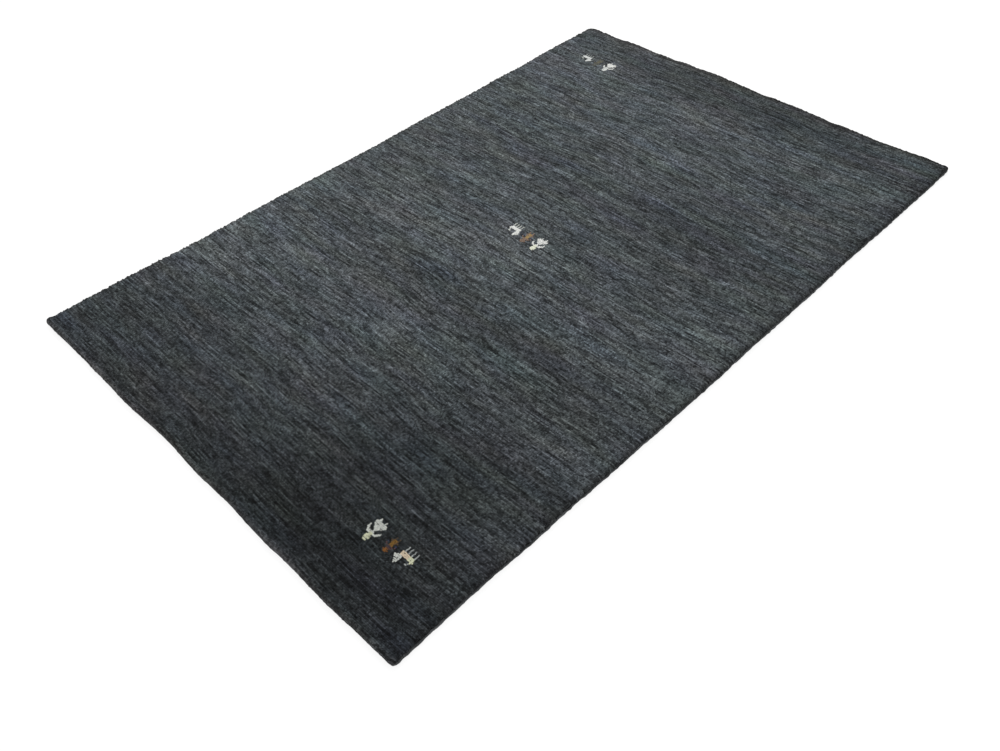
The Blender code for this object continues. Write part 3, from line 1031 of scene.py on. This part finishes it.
def plain_wool(name, roughness, sheen, gloss=WOOL_GLOSS):
    """A matt wool material, and the nodes that the others of its kind start from."""
    material, shader = new_material(name)
    tree = material.node_tree
    shader.inputs["Roughness"].default_value = roughness
    shader.inputs["Sheen Weight"].default_value = sheen
    shader.inputs["Sheen Roughness"].default_value = 0.5
    shader.inputs["Specular IOR Level"].default_value = gloss
    yarn = add_node(tree, "ShaderNodeAttribute", {"attribute_name": "wool"})
    return material, tree, shader, yarn.outputs["Color"]


def tuft_cells(tree, place, randomness):
    """A flat Voronoi pattern: a value for each cell, and a dome that falls off from its middle."""
    inputs = {"Scale": 1.0, "Randomness": randomness}
    tufts = add_node(tree, "ShaderNodeTexVoronoi", {"voronoi_dimensions": "2D"}, inputs)
    tree.links.new(place, tufts.inputs["Vector"])
    pick = add_node(tree, "ShaderNodeSeparateColor")
    tree.links.new(tufts.outputs["Color"], pick.inputs["Color"])
    return pick.outputs[0], ranged(tree, tufts.outputs["Distance"], 1.0, 0.0)


def fibre_noise(tree):
    """Fine noise, drawn out along the pile's height."""
    fibres = add_node(tree, "ShaderNodeTexNoise", None, {"Scale": 1.0, "Detail": 2.0, "Roughness": 0.6})
    tree.links.new(stretched_place(tree, FIBRE_FINENESS), fibres.inputs["Vector"])
    return fibres.outputs[0]


def finish_wool(tree, shader, yarn, tone, height, bump_size):
    """Links the yarn's colour times a tone to the shader, and a height as its bump."""
    tree.links.new(scaled(tree, yarn, tone), shader.inputs["Base Color"])
    bump = add_node(tree, "ShaderNodeBump", None, {"Distance": bump_size[0], "Strength": bump_size[1]})
    tree.links.new(height, bump.inputs["Height"])
    tree.links.new(bump.outputs["Normal"], shader.inputs["Normal"])


def wool_material(name, tuft_size, tuft_tones, fibre_tones, bump_size, roughness, sheen):
    """Matt wool: the yarn's own colour, times a tone for each tuft and for finer fibres, both as bump."""
    material, tree, shader, yarn = plain_wool(name, roughness, sheen)
    cell, dome = tuft_cells(tree, stretched_place(tree, tuple(1 / size for size in tuft_size)), 1.0)
    fibres = fibre_noise(tree)
    tone = calculated(tree, "MULTIPLY", ranged(tree, cell, *tuft_tones), ranged(tree, fibres, *fibre_tones))
    height = calculated(tree, "ADD", dome, calculated(tree, "MULTIPLY", fibres, FIBRE_SHARE))
    finish_wool(tree, shader, yarn, tone, height, bump_size)
    return material


def pile_material(name):
    """Cut pile in rows: each row's yarn changes its tone in long and short streaks.

    The streak's tone is noise along the rug's width, read at a place of its own for each row's number. It is
    multiplied by a tone for each tuft, a painted shade near the row's two edges, where the grooves lie, and
    one for fine fibres.
    """
    material, tree, shader, yarn = plain_wool(name, roughness=0.95, sheen=0.0)
    weave = add_node(tree, "ShaderNodeAttribute", {"attribute_name": "weave"})
    split = add_node(tree, "ShaderNodeSeparateXYZ")
    tree.links.new(weave.outputs["Vector"], split.inputs["Vector"])
    across, row = split.outputs["X"], split.outputs["Y"]
    number = calculated(tree, "FLOOR", row, 0.0)
    streak_place = add_node(tree, "ShaderNodeCombineXYZ")
    tree.links.new(calculated(tree, "DIVIDE", across, STREAK_SPAN), streak_place.inputs["X"])
    tree.links.new(calculated(tree, "MULTIPLY", number, ROW_APART), streak_place.inputs["Y"])
    inputs = {"Scale": 1.0, "Detail": 4.0, "Roughness": 0.75}
    streaks = add_node(tree, "ShaderNodeTexNoise", {"noise_dimensions": "2D"}, inputs)
    tree.links.new(streak_place.outputs["Vector"], streaks.inputs["Vector"])
    tuft_place = add_node(tree, "ShaderNodeCombineXYZ")
    tree.links.new(calculated(tree, "DIVIDE", across, TUFT_SPAN), tuft_place.inputs["X"])
    tree.links.new(row, tuft_place.inputs["Y"])
    cell, dome = tuft_cells(tree, tuft_place.outputs["Vector"], randomness=0.8)
    fibres = fibre_noise(tree)
    middle = calculated(tree, "PINGPONG", row, 0.5)
    tone = ranged(tree, streaks.outputs[0], *STREAK_TONES, *STREAK_RANGE)
    for part in (
        ranged(tree, cell, *TUFT_TONES),
        # Painted shade near the row's two edges, in the grooves
        ranged(tree, middle, *ROW_EDGE_PAINTED_SHADE, 0.0, ROW_SHADE_REACH),
        ranged(tree, fibres, *FIBRE_TONES),
    ):
        tone = calculated(tree, "MULTIPLY", tone, part)
    height = calculated(tree, "ADD", dome, calculated(tree, "MULTIPLY", fibres, FIBRE_SHARE))
    finish_wool(tree, shader, yarn, tone, height, PILE_BUMP)
    return material


def web_material(name):
    """The back of a hand loomed cloth: rows of small knot backs, raised and rounded by two crossed waves, and
    painted darker between them.
    """
    material, tree, shader, yarn = plain_wool(name, roughness=0.9, sheen=0.0, gloss=WEB_GLOSS)
    place = stretched_place(tree, (math.pi / WEB_KNOT[0], math.pi / WEB_KNOT[1], 1.0))
    split = add_node(tree, "ShaderNodeSeparateXYZ")
    tree.links.new(place, split.inputs["Vector"])
    beads = []
    for axis in ("X", "Y"):
        wave = calculated(tree, "SINE", split.outputs[axis], 0.0)
        beads.append(calculated(tree, "ABSOLUTE", wave, 0.0))
    knots = calculated(tree, "MULTIPLY", beads[0], beads[1])
    fibre_place = stretched_place(tree, (WEB_FINENESS,) * 3)
    fibres = add_node(tree, "ShaderNodeTexNoise", None, {"Scale": 1.0, "Detail": 2.0})
    tree.links.new(fibre_place, fibres.inputs["Vector"])
    fibre_tone = ranged(tree, fibres.outputs[0], *WEB_FIBRE_TONES)
    # Painted shade between the knot backs, lighter on their tops
    tone = calculated(tree, "MULTIPLY", ranged(tree, knots, *WEB_KNOT_PAINTED_SHADE), fibre_tone)
    finish_wool(tree, shader, yarn, tone, knots, WEB_BUMP)
    return material


def floor_material():
    """A pale matt floor that glows softly, as a lit studio table does."""
    material, shader = new_material("studio_floor")
    shader.inputs["Base Color"].default_value = (*FLOOR_COLOUR, 1.0)
    shader.inputs["Roughness"].default_value = 1.0
    shader.inputs["Specular IOR Level"].default_value = 0.0
    shader.inputs["Emission Color"].default_value = (1.0, 1.0, 1.0, 1.0)
    shader.inputs["Emission Strength"].default_value = FLOOR_GLOW
    return material


def make_studio():
    """The floor, the sky, one large soft light from behind on the left, and the camera."""
    half = FLOOR_SIZE / 2
    data = bpy.data.meshes.new("studio_floor")
    corners = [(x * half, y * half, -FLOOR_DROP) for x, y in ((-1, -1), (1, -1), (1, 1), (-1, 1))]
    data.from_pydata(corners, [], [(0, 1, 2, 3)])
    data.materials.append(floor_material())
    floor = new_object("studio_floor", data)

    world = bpy.data.worlds.new("studio_sky")
    world.use_nodes = True
    sky = world.node_tree.nodes["Background"]
    sky.inputs["Color"].default_value = (1.0, 1.0, 1.0, 1.0)
    sky.inputs["Strength"].default_value = SKY_STRENGTH
    bpy.context.scene.world = world

    key = bpy.data.lights.new("soft_key", "AREA")
    key.shape = "SQUARE"
    key.size = KEY_SIZE
    key.energy = KEY_POWER
    lamp = new_object("soft_key", key)
    lamp.location = KEY_PLACE
    lamp.rotation_euler = (-Vector(KEY_PLACE)).to_track_quat("-Z", "Y").to_euler()

    data = bpy.data.cameras.new("camera")
    data.lens = CAMERA_LENS
    data.sensor_width = SENSOR_WIDTH
    data.sensor_fit = "HORIZONTAL"
    data.clip_start, data.clip_end = CAMERA_CLIP
    camera = new_object("camera", data)
    view = (Vector(CAMERA_AIM) - Vector(CAMERA_PLACE)).to_track_quat("-Z", "Y")
    camera.location = CAMERA_PLACE
    camera.rotation_euler = (view @ Quaternion((0, 0, 1), CAMERA_ROLL)).to_euler()
    bpy.context.scene.camera = camera
    bpy.context.scene.view_settings.view_transform = "Standard"
    bpy.context.scene.view_settings.look = "None"


def settle(piece, material, slot, *nodes):
    """Gives a piece its material, hangs it on the root body and hides the CAD nodes that it stands for; the
    slot is not used.
    """
    piece.data.materials.append(material)
    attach(piece, "root")
    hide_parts(*nodes)
    return piece


# The outline's own box is centred in the same way as the CAD's
plan_shift = np.zeros(2)
reach = {side: side_points(side, np.linspace(0, 1, OUTLINE_SAMPLES))[0] for side in EDGES}
plan_shift = -np.array([
    (reach["right"][:, 0].max() + reach["left"][:, 0].min()) / 2,
    (reach["far"][:, 1].max() + reach["near"][:, 1].min()) / 2,
])

make_studio()

charcoal_pile = pile_material("charcoal_pile")
figure_wool = wool_material(
    "figure_wool", (0.0012, 0.0012, 1.0), (0.92, 1.08), (0.80, 1.20), FIGURE_BUMP, 0.95, 0.04,
)
overcast_yarn = wool_material(
    "overcast_yarn", (0.0016, 0.0012, 1.0), (0.75, 1.25), (0.60, 1.40), CORD_BUMP, 0.90, 0.03,
)

points, facing, along, across = pile_grid()
weave = weave_place(points)
points, colours = dress_pile(points, facing, along, across)
rows = (len(along) - 1) // len(LINE_PLACES)
cuts = [LEVELS + len(LINE_PLACES) * round(rows * k / BANDS) for k in range(1, BANDS)]
cuts = [0, *cuts, len(points) - 1]
for k in range(BANDS):
    band = pile_band(f"pile_band_{k + 1}", points, colours, weave, cuts[k], cuts[k + 1])
    settle(band, charcoal_pile, "pile_wool", "pile_cloth")
for name, group in GROUPS.items():
    settle(tuft_patch(name, group), figure_wool, "pile_wool", "pile_cloth")
for side in ("right", "left"):
    cord = overcast_cord(f"overcast_cord_{side}", side)
    settle(cord, overcast_yarn, "overcast_wool", f"selvedge_{side}")
back = settle(woven_back(), web_material("knot_backs"), "pile_wool", "pile_cloth")
